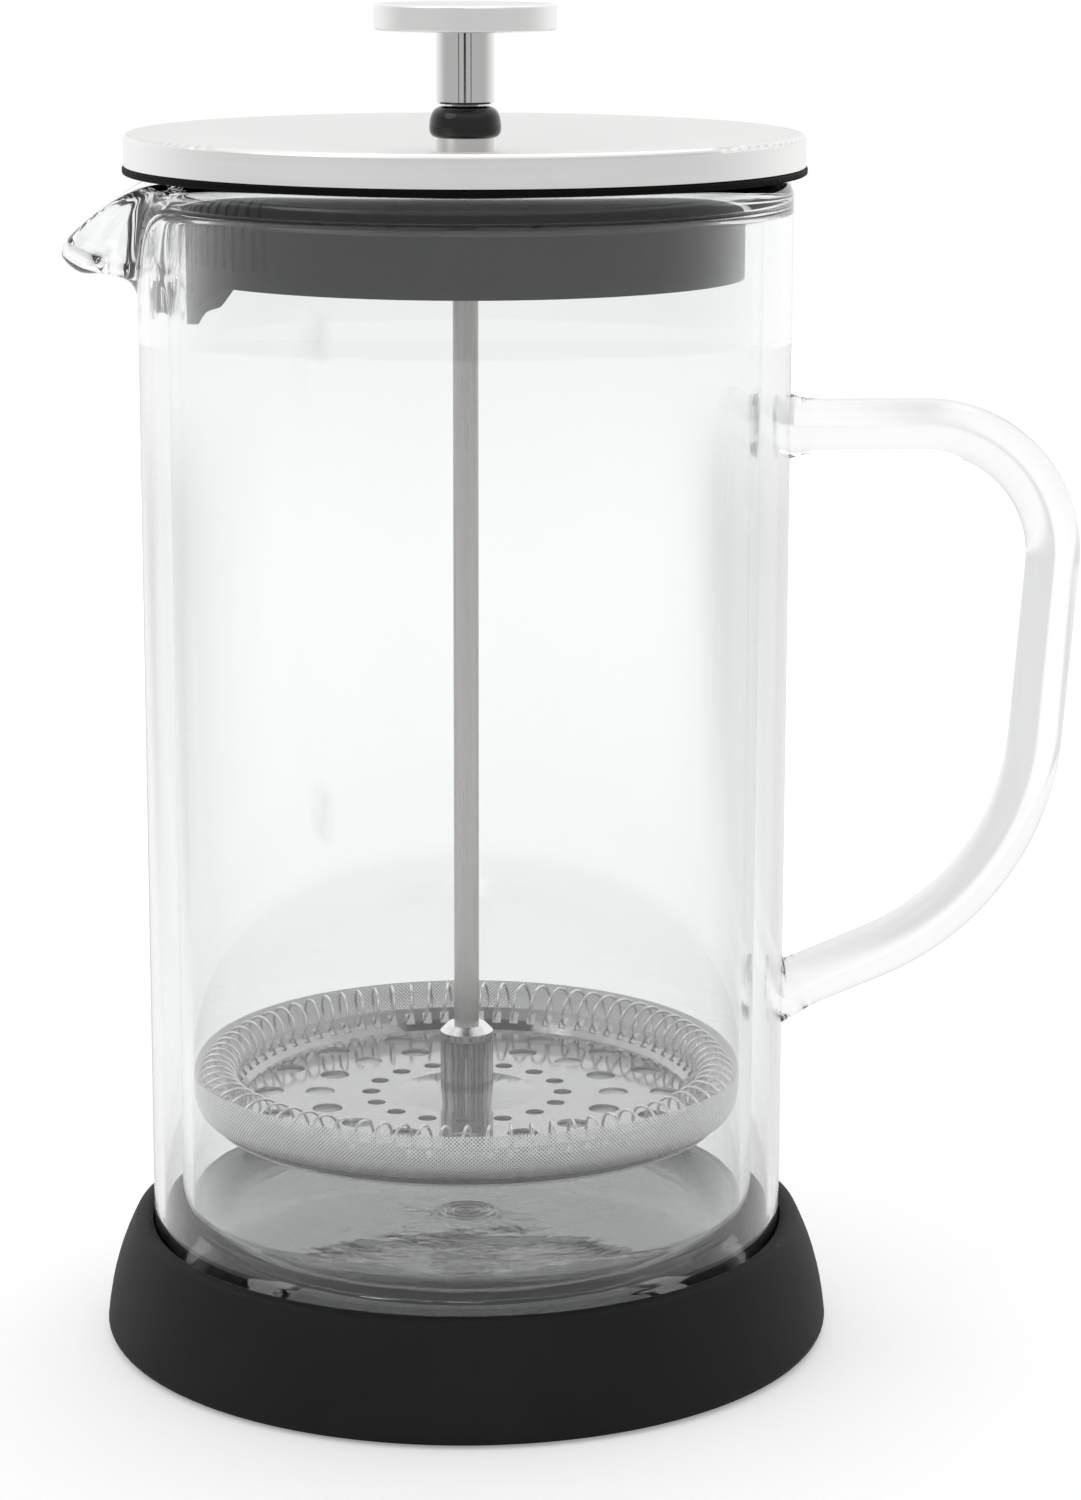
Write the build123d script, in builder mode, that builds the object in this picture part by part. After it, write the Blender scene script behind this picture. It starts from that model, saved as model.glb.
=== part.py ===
"""French press: double-wall glass vessel, steel lid and a plunger with a spring-edged filter.

Millimetres, +Z up. The origin is on the vessel's axis, on the surface that the base stands on.
The handle points along +X and the spout along -X.
"""

import os
from math import cos, pi, radians, sin

from build123d import *

os.makedirs("parts", exist_ok=True)

# Clearances
seat_gap = 0.3  # a moving piece above the seat it rests on, and the glass in its cup
turn_gap = 0.1  # the lid above its gasket, flat on flat
guide_gap = 0.08  # the rod in its guide bead
loose_gap = 0.35  # pieces that pass each other without touching
socket_gap = 0.05  # a stem in the socket that holds it
join_tolerance = 0.001  # edges of the glass closer than this are joined as one

# Glass vessel
bore_radius = 50.0
inner_wall = 1.8
wall_gap = 3.3  # the sealed space between the two walls
outer_wall = 1.9
rim_height = 208.7
vessel_floor = 20.5
glass_floor = 2.2
outer_corner = 7.0
inner_corner = 6.0
floor_bead_radius = 6.5
floor_bead_depth = 2.4
vent_radius = 2.5

# Base cup
base_flare = 8.7  # from the glass out to the widest place of the base
base_foot_round = 2.0
base_height = 21.0
base_floor = 4.0
base_side_inset = 1.6  # of the skin at half its height, from the widest place
base_side_height = 11.0
base_foot_lean = (-0.1, 1.0)  # directions of the skin at its foot and at its lip
base_lip_lean = (-0.45, 0.89)
base_lip = 3.2
base_lip_rise = 0.7
base_corner = 4.0
base_recess_radius = 8.0
base_recess_depth = 1.6

# Spout: the rim's outline in its middle, as distances out and drops below the rim
spout_half_angle = 36.0
spout_steps = 6  # sections on each side of the middle
spout_fullness = 1.75  # above 1, the spout narrows to a beak towards its end
spout_droop = 1.6  # above 1, the lip swings out before it drops
spout_split_drop = 30.0  # from the rim down to where the plain walls end
spout_under = ((0.0, 22.6), (1.4, 19.0), (5.0, 17.6), (10.6, 17.0), (13.3, 13.9))  # from the outer wall
spout_lip = (12.2, 11.5)  # top of the lip's edge, from the outer wall
spout_floor = ((17.0, 13.4), (11.4, 15.5), (5.4, 16.8), (1.1, 19.2), (0.0, 23.2))  # from the bore
spout_gap_drop = 26.0  # from the rim down to where the two walls meet under the spout
spout_gap_arch = 1.8

# Plain rim: the same outline away from the spout
rim_outer = ((0.0, 6.0), (0.0, 4.2), (-0.2, 2.4), (-0.9, 1.1), (-2.0, 0.3))  # from the outer wall
rim_inner = ((1.8, 0.4), (0.7, 1.5), (0.1, 3.1), (0.0, 4.7), (0.0, 6.0))  # from the bore
rim_gap_drop = 6.2  # from the rim down to where the walls start to meet
rim_gap_arch = 2.0

# Glass handle
handle_radius = 4.85
handle_drop = 43.9  # from the rim down to the middle of the upper root
handle_span = 103.2  # from the upper root down to the lower one
handle_upper_reach = 48.6  # from the outer wall to the corner that the upper bend rounds
handle_upper_rise = 0.4
handle_lower_reach = 42.6
handle_lower_rise = 19.1
handle_upper_bend = 23.0
handle_lower_bend = 47.0
handle_root_flare = 1.3
handle_root_length = 4.0

# Seal tip
seal_button_radius = 4.0
seal_button_flat = 2.4
seal_button_depth = 1.1
seal_dome = 1.0

# Lid
lid_overhang = 2.0  # beyond the outer wall of the glass
lid_rise = 5.5
lid_edge = 0.95
cap_sheet = 0.8
dish_flat_radius = 10.0
liner_sheet = 1.4
liner_upstand = 1.8
liner_upstand_height = 3.0
gasket_proud = 0.3
gasket_thickness = 1.3
gasket_edge = 0.4

# Strainer skirt
skirt_gap = 1.4  # between the skirt and the glass
skirt_wall = 1.6
skirt_depth = 18.65
tongue_depth = 26.4
tongue_top_angle = 37.0
tongue_bottom_angle = 17.0
tongue_round = 3.0
slot_pitch = 3.0  # degrees
slot_width = 0.9
slot_top_drop = 3.5
slot_side_drop = 15.4
slot_middle_drop = 20.5
slot_middle_count = 16
slot_side_count = 9

# Guide in the lid
collar_radius = 5.0
collar_height = 2.3
collar_thread_radius = 4.0
collar_tail = 1.0  # thread standing out under the nut
bead_radius = 6.25
bead_height = 5.5
bead_widest = 1.7  # height of the widest place above the collar
bead_top_radius = 3.4
bead_bottom_radius = 4.7
bead_stem_radius = 3.5
bead_stem_length = 1.7
washer_radius = 7.5
washer_thickness = 0.8
nut_across_flats = 11.0
nut_thickness = 3.2

# Knob and rod
knob_radius = 15.75
knob_thickness = 4.4
knob_edge = 0.4
neck_radius = 5.0
neck_length = 12.6
neck_edge = 0.4
spigot_radius = 3.0
spigot_length = 2.8
rod_radius = 2.25
thread_radius = 1.95
rod_top_thread = 9.0
rod_tail = 1.0  # thread standing out under the boss

# Filter
grounds_space = 19.5  # from the vessel's floor to the lowest edge of the filter
mesh_gap = 0.4  # between the woven cup and the glass
mesh_sheet = 0.25
mesh_height = 8.0
mesh_shoulder = 5.4
mesh_curve = 6.0  # width of the rounded corner of the woven cup
# Places on that corner, which sags beside the cross plate: out, up, and the direction to the cup's inside
mesh_corner = ((2.7, -0.33, 97.0), (3.9, -0.45, 112.0), (4.9, 0.8, 152.0), (5.7, 3.0, 165.0))
cross_inset = 2.8  # the cross plate inside the woven cup
cross_sheet = 0.6
cross_rim_depth = 2.3
cross_rim_lean = 1.0  # how far the turned-down rim runs inward
cross_bead = 0.35
cross_hole_ring = 29.0
cross_hole_radius = 8.0
cross_hole_count = 8
boss_radius = 5.0
boss_height = 5.7
plate_sheet = 0.5
plate_centre_radius = 12.75
plate_centre_rise = 0.8
plate_edge_rise = 3.4
flange_run = 1.9  # from the plate's floor out to where the spring passes through the edge
hole_count = 16
hole_margin = 4.6  # from the outer ring of holes to the edge of the plate's floor
hole_ring_pitch = 9.3
hole_radii = (2.7, 2.7, 1.65)
coil_turns = 78
coil_radius = 3.5
coil_wire = 0.27
coil_rise = 4.1
coil_gap = 0.18  # between the spring and the woven cup
pierce_angle = 35.0  # place on a turn, below its inner side, where it passes through the plate's edge
window_width = 1.7
window_above = 0.7
window_below = 1.1
hub_radius = 4.77
hub_height = 12.2
hub_chamfer = 1.3
hub_socket = 4.0
flute_count = 40
flute_radius = 0.28
flute_height = 7.0

# Radii that follow from the sizes above
glass_radius = bore_radius + inner_wall + wall_gap + outer_wall
cup_bore = glass_radius + seat_gap
base_radius = glass_radius + base_flare
base_foot_radius = base_radius - base_foot_round
rim_middle = (bore_radius + glass_radius) / 2
lid_radius = glass_radius + lid_overhang
liner_radius = lid_radius - cap_sheet - socket_gap
skirt_radius = bore_radius - skirt_gap
collar_bore = rod_radius + loose_gap
collar_hole = collar_thread_radius + socket_gap
thread_hole = thread_radius + socket_gap
mesh_radius = bore_radius - mesh_gap
mesh_floor_radius = mesh_radius - mesh_curve
cross_radius = mesh_radius - cross_inset
coil_ring = mesh_radius - mesh_sheet - coil_gap - coil_wire - coil_radius
pierce_radius = coil_ring - coil_radius * cos(radians(pierce_angle))
pierce_rise = coil_rise - coil_radius * sin(radians(pierce_angle))
plate_floor_radius = pierce_radius - flange_run
plate_edge_radius = plate_floor_radius + flange_run / pierce_rise * plate_edge_rise
hole_ring_outer = plate_floor_radius - hole_margin

# Levels that follow from the sizes above
vessel_split = rim_height - spout_split_drop
outer_floor = base_floor + glass_floor
handle_upper = rim_height - handle_drop
handle_lower = handle_upper - handle_span
gasket_bottom = rim_height + seat_gap
gasket_top = gasket_bottom + gasket_thickness
lid_bottom = gasket_top + turn_gap
lid_top = lid_bottom + lid_rise
liner_top = lid_bottom + liner_sheet
dish_level = liner_top + cap_sheet
skirt_bottom = lid_bottom - skirt_depth
tongue_bottom = lid_bottom - tongue_depth
collar_top = dish_level + collar_height
bead_top = collar_top + bead_height
bead_stem_bottom = collar_top - bead_stem_length
neck_bottom = bead_top + seat_gap
neck_top = neck_bottom + neck_length
washer_bottom = lid_bottom - washer_thickness
nut_bottom = washer_bottom - nut_thickness
filter_bottom = vessel_floor + grounds_space
cross_top = filter_bottom + cross_rim_depth
cross_under = cross_top - cross_sheet
boss_bottom = cross_under - boss_height
mesh_floor = cross_top + mesh_sheet
plate_floor = mesh_floor + plate_sheet
plate_centre = plate_floor + plate_centre_rise
plate_edge = plate_floor + plate_edge_rise
coil_level = plate_floor + coil_rise
hub_top = plate_centre + hub_height
rod_shoulder = hub_top - hub_socket


def radial_plane(azimuth):
    """The upright plane through the axis at an azimuth, with x outward and y up."""
    angle = radians(azimuth)
    return Plane(origin=(0, 0, 0), x_dir=(cos(angle), sin(angle), 0), z_dir=(sin(angle), -cos(angle), 0))


def rim_point(radius, plain, spout, out, down):
    """A place between the plain rim and the spout: its radius by one weight, its drop by the other."""
    reach = plain[0] + (spout[0] - plain[0]) * out
    drop = plain[1] + (spout[1] - plain[1]) * down
    return (radius + reach, rim_height - drop)


def rim_section(azimuth, out, down):
    """The two walls joined at the rim, as a face in the upright plane at an azimuth."""
    outer = [rim_point(glass_radius, *pair, out, down) for pair in zip(rim_outer, spout_under)]
    lip = rim_point(glass_radius, (rim_middle - glass_radius, 0), spout_lip, out, down)
    inner = [rim_point(bore_radius, *pair, out, down) for pair in zip(rim_inner, spout_floor)]
    gap_top = rim_height - rim_gap_drop - (spout_gap_drop - rim_gap_drop) * down
    gap_arch = rim_gap_arch + (spout_gap_arch - rim_gap_arch) * down
    gap_inner = (bore_radius + inner_wall, gap_top)
    gap_outer = (glass_radius - outer_wall, gap_top)
    with BuildSketch(radial_plane(azimuth)) as section:
        with BuildLine():
            Line((glass_radius, vessel_split), outer[0])
            Spline(*outer, lip)
            Spline(lip, *inner)
            Line(inner[-1], (bore_radius, vessel_split))
            Line((bore_radius, vessel_split), (bore_radius + inner_wall, vessel_split))
            Line((bore_radius + inner_wall, vessel_split), gap_inner)
            Spline(gap_inner, (rim_middle, gap_top + gap_arch), gap_outer, tangents=((0, 1), (0, -1)))
            Line(gap_outer, (glass_radius - outer_wall, vessel_split))
            Line((glass_radius - outer_wall, vessel_split), (glass_radius, vessel_split))
        make_face()
    return section.sketch.face()


def spout_section(step):
    """The rim's outline at one of the sections across the spout."""
    share = step / spout_steps
    weight = ((1 + cos(pi * share)) / 2) ** spout_fullness
    return rim_section(180 + spout_half_angle * share, weight, weight**spout_droop)


# Base cup: a flared skin on a flat floor, with a recess for the seal tip
with BuildPart() as base_cup:
    lip_level = base_height - base_lip_rise
    lip_outside = (cup_bore + base_lip, lip_level)
    lip_crest = (cup_bore + base_lip / 2, base_height)
    recess_level = base_floor - base_recess_depth
    with BuildSketch(Plane.XZ) as cup_profile:
        with BuildLine():
            Polyline((0, recess_level), (0, 0), (base_foot_radius, 0))
            TangentArc((base_foot_radius, 0), (base_radius, base_foot_round), tangent=(1, 0))
            Spline(
                (base_radius, base_foot_round),
                (base_radius - base_side_inset, base_side_height),
                lip_outside,
                tangents=(base_foot_lean, base_lip_lean),
            )
            ThreePointArc(lip_outside, lip_crest, (cup_bore, lip_level))
            Polyline(
                (cup_bore, lip_level),
                (cup_bore, base_floor),
                (base_recess_radius, base_floor),
                (base_recess_radius, recess_level),
                (0, recess_level),
            )
        make_face()
        fillet(cup_profile.vertices().sort_by_distance((cup_bore, base_floor))[0], radius=base_corner)
    revolve(axis=Axis.Z)
base_cup.part.label = "base_cup"
export_step(base_cup.part, "parts/base_cup.step")

# Glass vessel: two walls with a sealed space between them, joined at the rim and the spout
plain_rim = rim_section(180 + spout_half_angle, 0, 0)
spout_sections = [spout_section(step) for step in range(-spout_steps, spout_steps + 1)]
with BuildPart() as vessel_walls:
    with BuildSketch(Plane.XZ) as outer_profile:
        with BuildLine():
            Polyline(
                (vent_radius, base_floor),
                (glass_radius, base_floor),
                (glass_radius, vessel_split),
                (glass_radius - outer_wall, vessel_split),
                (glass_radius - outer_wall, outer_floor),
                (vent_radius, outer_floor),
                close=True,
            )
        make_face()
        corners = outer_profile.vertices().group_by(Axis.X)
        fillet(corners[-1].sort_by(Axis.Y)[0], radius=outer_corner)
        fillet(corners[-2].sort_by(Axis.Y)[0], radius=outer_corner - outer_wall)
    with BuildSketch(Plane.XZ) as inner_profile:
        under_floor = vessel_floor - glass_floor
        with BuildLine():
            Polyline(
                (0, under_floor - floor_bead_depth),
                (0, vessel_floor),
                (bore_radius, vessel_floor),
                (bore_radius, vessel_split),
                (bore_radius + inner_wall, vessel_split),
                (bore_radius + inner_wall, under_floor),
                (floor_bead_radius, under_floor),
            )
            TangentArc((0, under_floor - floor_bead_depth), (floor_bead_radius, under_floor), tangent=(1, 0))
        make_face()
        corners = inner_profile.vertices().group_by(Axis.X)
        fillet(corners[-1].sort_by(Axis.Y)[0], radius=inner_corner + inner_wall)
        fillet(corners[-2].sort_by(Axis.Y)[0], radius=inner_corner)
    revolve(axis=Axis.Z)
    revolve(plain_rim, axis=Axis.Z, revolution_arc=360 - 2 * spout_half_angle)
with BuildPart() as vessel_spout:
    loft(spout_sections)
with BuildPart() as glass_vessel:
    add(vessel_walls.part.fuse(vessel_spout.part, tol=join_tolerance))
glass_vessel.part.label = "glass_vessel"
export_step(glass_vessel.part, "parts/glass_vessel.step")

# Glass handle: a bent rod, a little wider at its roots, cut to the outer wall
with BuildPart() as glass_handle:
    root_inset = glass_radius - outer_wall
    root_span = outer_wall + handle_root_length
    with BuildLine() as handle_path:
        FilletPolyline(
            (root_inset, 0, handle_upper),
            (glass_radius + handle_upper_reach, 0, handle_upper + handle_upper_rise),
            (glass_radius + handle_lower_reach, 0, handle_lower + handle_lower_rise),
            (root_inset, 0, handle_lower),
            radius=[handle_upper_bend, handle_lower_bend],
        )
    with BuildSketch(Plane(handle_path.line @ 0, z_dir=handle_path.line % 0)):
        Circle(handle_radius)
    sweep()
    for end, direction in ((0, 1), (1, -1)):
        root = handle_path.line @ end
        outward = (handle_path.line % end) * direction
        with BuildSketch(Plane(root, z_dir=outward)):
            Circle(handle_radius + handle_root_flare)
        with BuildSketch(Plane(root + outward * root_span, z_dir=outward)):
            Circle(handle_radius)
        loft()
    Cylinder(glass_radius, rim_height, align=(Align.CENTER, Align.CENTER, Align.MIN), mode=Mode.SUBTRACT)
glass_handle.part.label = "glass_handle"
export_step(glass_handle.part, "parts/glass_handle.step")

# Seal tip: fills the vent hole, with a rounded button below the outer floor
with BuildPart() as seal_tip:
    button_level = base_floor - seal_button_depth
    with BuildSketch(Plane.XZ):
        with BuildLine():
            Polyline((0, outer_floor + seal_dome), (0, button_level), (seal_button_flat, button_level))
            TangentArc((seal_button_flat, button_level), (seal_button_radius, base_floor), tangent=(1, 0))
            Polyline((seal_button_radius, base_floor), (vent_radius, base_floor), (vent_radius, outer_floor))
            TangentArc((0, outer_floor + seal_dome), (vent_radius, outer_floor), tangent=(1, 0))
        make_face()
    revolve(axis=Axis.Z)
seal_tip.part.label = "seal_tip"
export_step(seal_tip.part, "parts/seal_tip.step")

# Lid gasket: a flat ring that stands a little proud of the lid
with BuildPart() as lid_gasket:
    with BuildSketch(Plane.XY.offset(gasket_bottom)):
        Circle(lid_radius + gasket_proud)
        Circle(skirt_radius + loose_gap, mode=Mode.SUBTRACT)
    extrude(amount=gasket_thickness)
    rims = lid_gasket.edges().filter_by(GeomType.CIRCLE).sort_by(SortBy.RADIUS)
    fillet(rims[-2:], radius=gasket_edge)
lid_gasket.part.label = "lid_gasket"
export_step(lid_gasket.part, "parts/lid_gasket.step")

# Lid cap: a pressed sheet with an upright edge and a shallow dish
with BuildPart() as lid_cap:
    cap_inside = lid_radius - cap_sheet
    dish_start = cap_inside - lid_edge
    dish_under = lid_top - cap_sheet
    with BuildSketch(Plane.XZ) as cap_profile:
        with BuildLine():
            Polyline(
                (cap_inside, lid_bottom),
                (lid_radius, lid_bottom),
                (lid_radius, lid_top),
                (dish_start, lid_top),
            )
            Spline((dish_start, lid_top), (dish_flat_radius, dish_level), tangents=((-1, 0), (-1, 0)))
            Polyline(
                (dish_flat_radius, dish_level),
                (collar_hole, dish_level),
                (collar_hole, liner_top),
                (dish_flat_radius, liner_top),
            )
            Spline((dish_flat_radius, liner_top), (dish_start, dish_under), tangents=((1, 0), (1, 0)))
            Polyline((dish_start, dish_under), (cap_inside, dish_under), (cap_inside, lid_bottom))
        make_face()
        columns = cap_profile.vertices().group_by(Axis.X)
        fillet(columns[-1].sort_by(Axis.Y)[-1], radius=lid_edge)
        fillet(columns[-2].sort_by(Axis.Y)[-1], radius=lid_edge - cap_sheet)
    revolve(axis=Axis.Z)
lid_cap.part.label = "lid_cap"
export_step(lid_cap.part, "parts/lid_cap.step")

# Tongue of the strainer: a strip of the skirt's tube, cut to a trapezoid as seen from the spout
with BuildPart() as tongue:
    half_top = skirt_radius * sin(radians(tongue_top_angle))
    half_bottom = skirt_radius * sin(radians(tongue_bottom_angle))
    with BuildSketch(Plane.XY.offset(tongue_bottom)):
        Circle(skirt_radius)
        Circle(skirt_radius - skirt_wall, mode=Mode.SUBTRACT)
    extrude(amount=tongue_depth - skirt_depth)
    with BuildSketch(Plane.YZ.offset(-skirt_radius)) as tongue_outline:
        Polygon(
            (-half_top, skirt_bottom),
            (-half_bottom, tongue_bottom),
            (half_bottom, tongue_bottom),
            (half_top, skirt_bottom),
            align=None,
        )
        fillet(tongue_outline.vertices().group_by(Axis.Y)[0], radius=tongue_round)
    extrude(amount=skirt_radius, mode=Mode.INTERSECT)

# Lid liner: disc, locating ring, skirt with strainer slots, and the tongue
with BuildPart() as lid_liner:
    upstand_top = lid_bottom + liner_upstand_height
    with BuildSketch(Plane.XZ):
        with BuildLine():
            Polyline(
                (collar_hole, lid_bottom),
                (skirt_radius - skirt_wall, lid_bottom),
                (skirt_radius - skirt_wall, skirt_bottom),
                (skirt_radius, skirt_bottom),
                (skirt_radius, lid_bottom),
                (liner_radius, lid_bottom),
                (liner_radius, upstand_top),
                (liner_radius - liner_upstand, upstand_top),
                (liner_radius - liner_upstand, liner_top),
                (collar_hole, liner_top),
                close=True,
            )
        make_face()
    revolve(axis=Axis.Z)
    add(tongue.part)
    middle_span = slot_pitch * (slot_middle_count - 1)
    side_span = slot_pitch * (slot_side_count - 1)
    side_start = middle_span / 2 + slot_pitch
    slot_groups = (
        (180 - middle_span / 2, middle_span, slot_middle_count, slot_middle_drop),
        (180 - side_start - side_span, side_span, slot_side_count, slot_side_drop),
        (180 + side_start, side_span, slot_side_count, slot_side_drop),
    )
    for first, span, count, drop in slot_groups:
        with Locations((0, 0, lid_bottom - drop)):
            with PolarLocations(skirt_radius - skirt_wall / 2, count, first, span, endpoint=True):
                Box(
                    2 * skirt_wall,
                    slot_width,
                    drop - slot_top_drop,
                    align=(Align.CENTER, Align.CENTER, Align.MIN),
                    mode=Mode.SUBTRACT,
                )
lid_liner.part.label = "lid_liner"
export_step(lid_liner.part, "parts/lid_liner.step")

# Guide collar: a threaded bush with a shoulder on the dish and a socket for the bead
with BuildPart() as guide_collar:
    collar_bottom = nut_bottom - collar_tail
    bead_socket = bead_stem_radius + socket_gap
    with BuildSketch(Plane.XZ):
        with BuildLine():
            Polyline(
                (collar_bore, collar_bottom),
                (collar_thread_radius, collar_bottom),
                (collar_thread_radius, dish_level),
                (collar_radius, dish_level),
                (collar_radius, collar_top),
                (bead_socket, collar_top),
                (bead_socket, bead_stem_bottom),
                (collar_bore, bead_stem_bottom),
                close=True,
            )
        make_face()
    revolve(axis=Axis.Z)
guide_collar.part.label = "guide_collar"
export_step(guide_collar.part, "parts/guide_collar.step")

# Guide bead: a rounded bush on a stem
with BuildPart() as guide_bead:
    bead_bore = rod_radius + guide_gap
    widest = (bead_radius, collar_top + bead_widest)
    with BuildSketch(Plane.XZ):
        with BuildLine():
            Polyline(
                (bead_top_radius, bead_top),
                (bead_bore, bead_top),
                (bead_bore, bead_stem_bottom),
                (bead_stem_radius, bead_stem_bottom),
                (bead_stem_radius, collar_top),
                (bead_bottom_radius, collar_top),
            )
            Spline((bead_bottom_radius, collar_top), widest, tangents=((1, 0), (0, 1)))
            Spline(widest, (bead_top_radius, bead_top), tangents=((0, 1), (-1, 0)))
        make_face()
    revolve(axis=Axis.Z)
guide_bead.part.label = "guide_bead"
export_step(guide_bead.part, "parts/guide_bead.step")

# Lid washer: spreads the nut's load on the liner
with BuildPart() as lid_washer:
    with BuildSketch(Plane.XY.offset(washer_bottom)):
        Circle(washer_radius)
        Circle(collar_hole, mode=Mode.SUBTRACT)
    extrude(amount=washer_thickness)
lid_washer.part.label = "lid_washer"
export_step(lid_washer.part, "parts/lid_washer.step")

# Lid nut: clamps the collar, the cap and the liner together
with BuildPart() as lid_nut:
    with BuildSketch(Plane.XY.offset(nut_bottom)):
        RegularPolygon(nut_across_flats / 2, side_count=6, major_radius=False)
        Circle(collar_hole, mode=Mode.SUBTRACT)
    extrude(amount=nut_thickness)
lid_nut.part.label = "lid_nut"
export_step(lid_nut.part, "parts/lid_nut.step")

# Knob disc: a thick round plate with a socket for the neck's spigot
with BuildPart() as knob_disc:
    with BuildSketch(Plane.XY.offset(neck_top)):
        Circle(knob_radius)
    extrude(amount=knob_thickness)
    fillet(knob_disc.edges().filter_by(GeomType.CIRCLE), radius=knob_edge)
    with BuildSketch(Plane.XY.offset(neck_top)):
        Circle(spigot_radius + socket_gap)
    extrude(amount=spigot_length + socket_gap, mode=Mode.SUBTRACT)
knob_disc.part.label = "knob_disc"
export_step(knob_disc.part, "parts/knob_disc.step")

# Knob neck: a polished bar with a spigot on top and a threaded hole below
with BuildPart() as knob_neck:
    with BuildSketch(Plane.XY.offset(neck_bottom)):
        Circle(neck_radius)
    extrude(amount=neck_length)
    chamfer(knob_neck.edges().group_by(Axis.Z)[0], length=neck_edge)
    with BuildSketch(Plane.XY.offset(neck_top)):
        Circle(spigot_radius)
    extrude(amount=spigot_length)
    with BuildSketch(Plane.XY.offset(neck_bottom)):
        Circle(thread_hole)
    extrude(amount=rod_top_thread + socket_gap, mode=Mode.SUBTRACT)
knob_neck.part.label = "knob_neck"
export_step(knob_neck.part, "parts/knob_neck.step")

# Plunger rod: a round bar turned down to a thread at each end
with BuildPart() as plunger_rod:
    rod_bottom = boss_bottom - rod_tail
    rod_top = neck_bottom + rod_top_thread
    with BuildSketch(Plane.XZ):
        with BuildLine():
            Polyline(
                (0, rod_bottom),
                (thread_radius, rod_bottom),
                (thread_radius, rod_shoulder),
                (rod_radius, rod_shoulder),
                (rod_radius, neck_bottom),
                (thread_radius, neck_bottom),
                (thread_radius, rod_top),
                (0, rod_top),
                close=True,
            )
        make_face()
    revolve(axis=Axis.Z)
plunger_rod.part.label = "plunger_rod"
export_step(plunger_rod.part, "parts/plunger_rod.step")

# Hub nut: stands on the plate, with fine flutes round its lower half
with BuildPart() as hub_nut:
    with BuildSketch(Plane.XY.offset(plate_centre)):
        Circle(hub_radius)
        Circle(thread_hole, mode=Mode.SUBTRACT)
    extrude(amount=hub_height)
    chamfer(hub_nut.edges().group_by(Axis.Z)[-1].sort_by(SortBy.RADIUS)[-1], length=hub_chamfer)
    with BuildSketch(Plane.XY.offset(rod_shoulder)):
        Circle(rod_radius + socket_gap)
    extrude(amount=hub_socket, mode=Mode.SUBTRACT)
    with BuildSketch(Plane.XY.offset(plate_centre)):
        with PolarLocations(hub_radius, flute_count):
            Circle(flute_radius)
    extrude(amount=flute_height, mode=Mode.SUBTRACT)
hub_nut.part.label = "hub_nut"
export_step(hub_nut.part, "parts/hub_nut.step")

# Spiral plate: polished sheet, raised in the middle, with a leaning edge that carries the spring
with BuildPart() as spiral_plate:
    with BuildSketch(Plane.XZ):
        with BuildLine():
            Polyline(
                (thread_hole, plate_centre),
                (hub_radius, plate_centre),
                (plate_centre_radius, plate_floor),
                (plate_floor_radius, plate_floor),
                (plate_edge_radius, plate_edge),
                (plate_edge_radius + plate_sheet, plate_edge),
                (plate_floor_radius + plate_sheet, mesh_floor),
                (plate_centre_radius, mesh_floor),
                (hub_radius, plate_centre - plate_sheet),
                (thread_hole, plate_centre - plate_sheet),
                close=True,
            )
        make_face()
    revolve(axis=Axis.Z)
    for ring, hole_radius in enumerate(hole_radii):
        with BuildSketch(Plane.XY.offset(mesh_floor)):
            with PolarLocations(hole_ring_outer - ring * hole_ring_pitch, hole_count):
                Circle(hole_radius)
        extrude(amount=plate_sheet, mode=Mode.SUBTRACT)
    with Locations((0, 0, plate_floor + pierce_rise - window_below)):
        with PolarLocations(pierce_radius, coil_turns):
            Box(
                2 * coil_radius,
                window_width,
                window_below + window_above,
                align=(Align.CENTER, Align.CENTER, Align.MIN),
                mode=Mode.SUBTRACT,
            )
spiral_plate.part.label = "spiral_plate"
export_step(spiral_plate.part, "parts/spiral_plate.step")

# Coil spring: the turns that are threaded through the plate's edge
with BuildPart() as coil_spring:
    with Locations((0, 0, coil_level)):
        with PolarLocations(coil_ring, coil_turns):
            Torus(coil_radius, coil_wire, rotation=(90, 0, 0))
coil_spring.part.label = "coil_spring"
export_step(coil_spring.part, "parts/coil_spring.step")

# Mesh screen: a woven cup under the plate and up around the spring
with BuildPart() as mesh_screen:
    shoulder = cross_top + mesh_shoulder
    mesh_edge = cross_top + mesh_height
    mesh_inside = mesh_radius - mesh_sheet
    corner_outside = [(mesh_floor_radius + out, cross_top + up) for out, up, _ in mesh_corner]
    corner_inside = [
        (r + mesh_sheet * cos(radians(inward)), z + mesh_sheet * sin(radians(inward)))
        for (r, z), (_, _, inward) in zip(corner_outside, mesh_corner)
    ]
    with BuildSketch(Plane.XZ):
        with BuildLine():
            Polyline(
                (mesh_floor_radius, mesh_floor),
                (thread_hole, mesh_floor),
                (thread_hole, cross_top),
                (mesh_floor_radius, cross_top),
            )
            Spline(
                (mesh_floor_radius, cross_top),
                *corner_outside,
                (mesh_radius, shoulder),
                tangents=((1, 0), (0, 1)),
            )
            Polyline(
                (mesh_radius, shoulder),
                (mesh_radius, mesh_edge),
                (mesh_inside, mesh_edge),
                (mesh_inside, shoulder),
            )
            Spline(
                (mesh_inside, shoulder),
                *reversed(corner_inside),
                (mesh_floor_radius, mesh_floor),
                tangents=((0, -1), (-1, 0)),
            )
        make_face()
    revolve(axis=Axis.Z)
mesh_screen.part.label = "mesh_screen"
export_step(mesh_screen.part, "parts/mesh_screen.step")

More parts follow.
